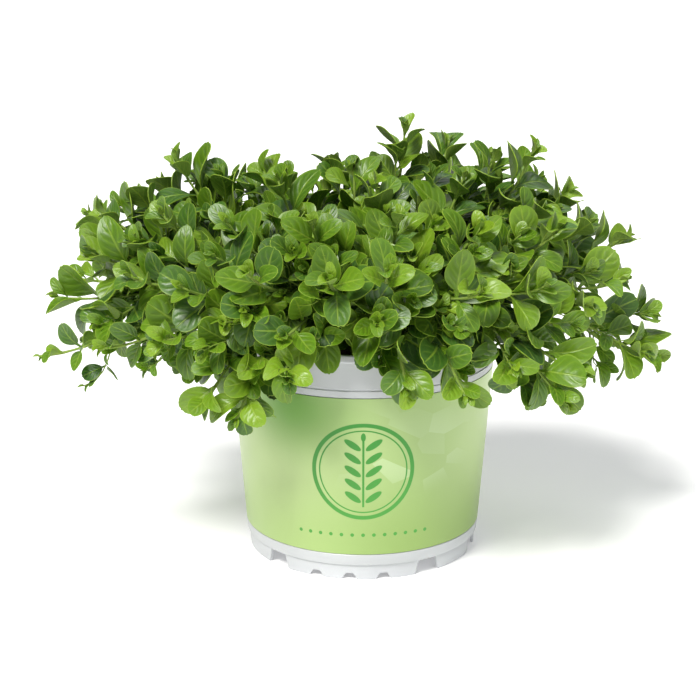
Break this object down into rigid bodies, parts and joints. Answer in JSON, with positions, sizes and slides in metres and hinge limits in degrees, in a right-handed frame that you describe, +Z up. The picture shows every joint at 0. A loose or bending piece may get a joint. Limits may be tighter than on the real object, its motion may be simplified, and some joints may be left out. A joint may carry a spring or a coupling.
{
  "type": "potted oregano plant",
  "caption": "Bushy oregano herb with opposite rounded leaves on thin square stems, growing in a white tapered nursery pot with a printed green sleeve.",
  "frame": {"origin": "middle of the whole plant's outline seen from above, at the height of the pot's foot; the pot's axis stands 0.9 mm to -X and 0.9 mm to +Y of it", "axes": "+Z up along the pot's axis, -Y towards the front of the printed sleeve and of one lobe of the foot, +X to the right of someone facing that front"},
  "size_m": [0.2864, 0.1972, 0.1882],
  "materials": {
    "pot_plastic": "satin white, injection moulded",
    "printed_film": "satin film printed light to mid green",
    "potting_mix": "loose dark fibrous mix",
    "young_leaf": "satin, soft, young green",
    "grown_leaf": "satin, soft, mid green"
  },
  "bodies": {
    "root": {"pot": "pot_plastic", "sleeve_label": "printed_film", "potting_mix": "potting_mix", "shoot_01": "young_leaf", "shoot_02": "grown_leaf", "shoot_03": "grown_leaf", "shoot_04": "young_leaf", "shoot_05": "grown_leaf", "shoot_06": "grown_leaf", "shoot_07": "young_leaf", "shoot_08": "grown_leaf", "shoot_09": "grown_leaf", "shoot_10": "young_leaf", "shoot_11": "grown_leaf", "shoot_12": "grown_leaf", "shoot_13": "young_leaf", "shoot_14": "grown_leaf", "shoot_15": "grown_leaf", "shoot_16": "young_leaf", "shoot_17": "grown_leaf", "shoot_18": "grown_leaf", "shoot_19": "young_leaf", "shoot_20": "grown_leaf", "shoot_21": "grown_leaf", "shoot_22": "young_leaf", "shoot_23": "grown_leaf", "shoot_24": "grown_leaf", "shoot_25": "young_leaf", "shoot_26": "grown_leaf", "shoot_27": "grown_leaf", "shoot_28": "young_leaf", "shoot_29": "grown_leaf", "shoot_30": "grown_leaf", "shoot_31": "young_leaf", "shoot_32": "grown_leaf", "shoot_33": "grown_leaf", "shoot_34": "young_leaf", "shoot_35": "grown_leaf", "shoot_36": "grown_leaf", "shoot_37": "young_leaf", "shoot_38": "grown_leaf", "shoot_39": "grown_leaf", "shoot_40": "young_leaf", "shoot_41": "grown_leaf", "shoot_42": "grown_leaf", "shoot_43": "young_leaf", "shoot_44": "grown_leaf", "shoot_45": "grown_leaf", "shoot_46": "young_leaf", "shoot_47": "grown_leaf", "shoot_48": "grown_leaf", "shoot_49": "young_leaf", "shoot_50": "grown_leaf", "shoot_51": "grown_leaf", "shoot_52": "young_leaf", "shoot_53": "grown_leaf", "shoot_54": "grown_leaf", "shoot_55": "young_leaf", "shoot_56": "grown_leaf", "shoot_57": "grown_leaf"}
  },
  "joints": []
}
